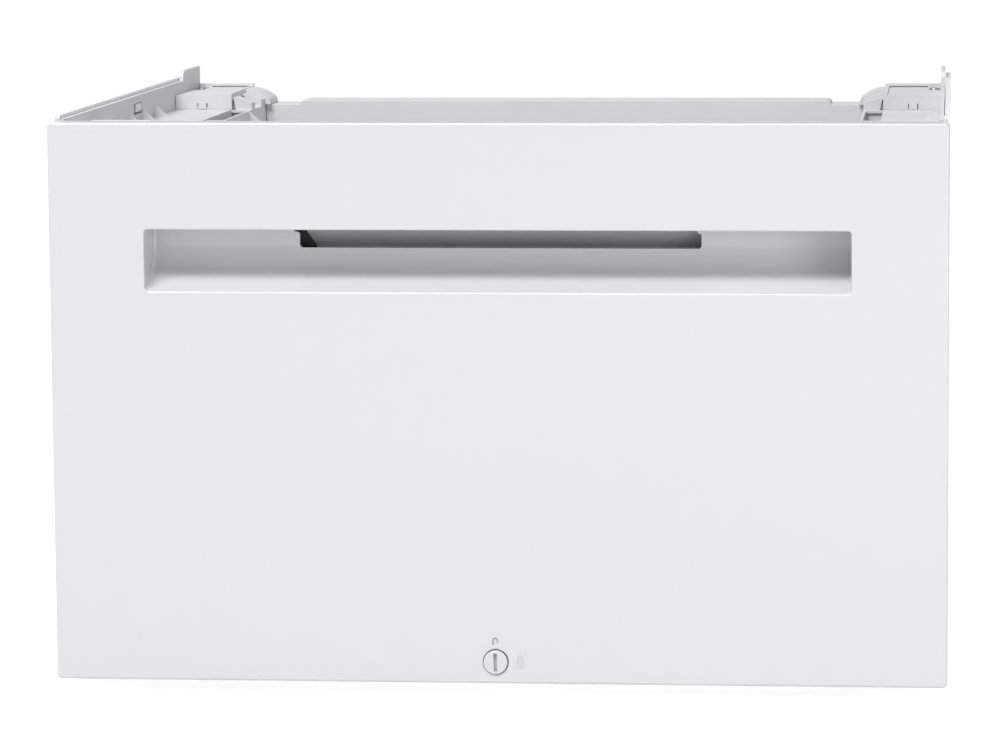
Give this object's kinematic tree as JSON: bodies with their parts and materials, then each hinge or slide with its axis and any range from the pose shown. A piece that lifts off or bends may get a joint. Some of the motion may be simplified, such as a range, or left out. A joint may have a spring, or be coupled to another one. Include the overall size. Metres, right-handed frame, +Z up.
{
  "type": "washer pedestal with drawer",
  "caption": "Low white pedestal that carries a washer on corner blocks, with a full-width drawer on telescopic slides, a recessed handle and a coin-turn lock.",
  "frame": {"origin": "on the floor, under the middle of the pedestal's overall box", "axes": "front panel faces -Y, +X to the right seen from the front, +Z up"},
  "size_m": [0.598, 0.5476, 0.394],
  "materials": {
    "panel_white": "glossy moulded white",
    "white_paint": "powder coated, satin",
    "grey_plastic": "moulded, fine grain",
    "knob_grey": "moulded, satin",
    "dark_plastic": "moulded, matt",
    "zinc_steel": "bright zinc plated",
    "galvanised": "hot dip galvanised",
    "rubber": "matt black"
  },
  "bodies": {
    "cabinet": {"left_side_sheet": "white_paint", "left_side_liner": "grey_plastic", "left_slot_clip": "grey_plastic", "left_wall_clip": "zinc_steel", "left_base_rail": "galvanised", "front_left_corner_block": "grey_plastic", "front_left_post": "galvanised", "front_left_foot_nut": "zinc_steel", "rear_left_corner_block": "grey_plastic", "rear_left_post": "galvanised", "rear_left_foot_nut": "zinc_steel", "left_fixed_rail": "zinc_steel", "right_side_sheet": "white_paint", "right_side_liner": "grey_plastic", "right_slot_clip": "grey_plastic", "right_wall_clip": "zinc_steel", "right_base_rail": "galvanised", "front_right_corner_block": "grey_plastic", "front_right_post": "galvanised", "front_right_foot_nut": "zinc_steel", "rear_right_corner_block": "grey_plastic", "rear_right_post": "galvanised", "rear_right_foot_nut": "zinc_steel", "right_fixed_rail": "zinc_steel", "rear_cross_member": "grey_plastic", "front_cross_member": "grey_plastic", "front_base_rail": "galvanised", "rear_base_rail": "galvanised", "lock_strike": "zinc_steel", "rear_panel": "galvanised"},
    "drawer": {"left_drawer_rail": "zinc_steel", "drawer_left_wall": "white_paint", "left_panel_bracket": "galvanised", "upper_left_buffer": "rubber", "lower_left_buffer": "rubber", "right_drawer_rail": "zinc_steel", "drawer_right_wall": "white_paint", "right_panel_bracket": "galvanised", "upper_right_buffer": "rubber", "lower_right_buffer": "rubber", "front_panel": "panel_white", "panel_back_plate": "galvanised", "grip_cavity": "dark_plastic", "drawer_floor": "white_paint", "drawer_front_wall": "white_paint", "drawer_rear_wall": "white_paint", "lock_housing": "grey_plastic"},
    "left_rail_stage": {"left_middle_rail": "zinc_steel"},
    "right_rail_stage": {"right_middle_rail": "zinc_steel"},
    "lock": {"lock_knob": "knob_grey", "lock_cam": "zinc_steel", "lock_cam_screw": "zinc_steel"},
    "front_left_foot": {"front_left_foot_pad": "dark_plastic", "front_left_foot_stem": "zinc_steel"},
    "front_right_foot": {"front_right_foot_pad": "dark_plastic", "front_right_foot_stem": "zinc_steel"},
    "rear_left_foot": {"rear_left_foot_pad": "dark_plastic", "rear_left_foot_stem": "zinc_steel"},
    "rear_right_foot": {"rear_right_foot_pad": "dark_plastic", "rear_right_foot_stem": "zinc_steel"}
  },
  "joints": [
    {"name": "drawer_slide", "type": "slide", "parent": "cabinet", "child": "drawer", "axis": [0, -1, 0], "range_m": [0, 0.42]},
    {"name": "left_rail_slide", "type": "slide", "parent": "cabinet", "child": "left_rail_stage", "axis": [0, -1, 0], "range_m": [0, 0.21]},
    {"name": "right_rail_slide", "type": "slide", "parent": "cabinet", "child": "right_rail_stage", "axis": [0, -1, 0], "range_m": [0, 0.21]},
    {"name": "lock_turn", "type": "hinge", "parent": "drawer", "child": "lock", "pos_m": [-0.002, -0.2722, 0.025], "axis": [0, 1, 0], "range_deg": [0, 90]},
    {"name": "front_left_foot_turn", "type": "hinge", "parent": "cabinet", "child": "front_left_foot", "pos_m": [-0.259, -0.1802, 0], "axis": [0, 0, 1], "continuous": true},
    {"name": "front_right_foot_turn", "type": "hinge", "parent": "cabinet", "child": "front_right_foot", "pos_m": [0.259, -0.1802, 0], "axis": [0, 0, 1], "continuous": true},
    {"name": "rear_left_foot_turn", "type": "hinge", "parent": "cabinet", "child": "rear_left_foot", "pos_m": [-0.259, 0.2158, 0], "axis": [0, 0, 1], "continuous": true},
    {"name": "rear_right_foot_turn", "type": "hinge", "parent": "cabinet", "child": "rear_right_foot", "pos_m": [0.259, 0.2158, 0], "axis": [0, 0, 1], "continuous": true}
  ],
  "couplings": [
    {"joint": "left_rail_slide", "follows": "drawer_slide", "ratio": 0.5},
    {"joint": "right_rail_slide", "follows": "drawer_slide", "ratio": 0.5}
  ]
}
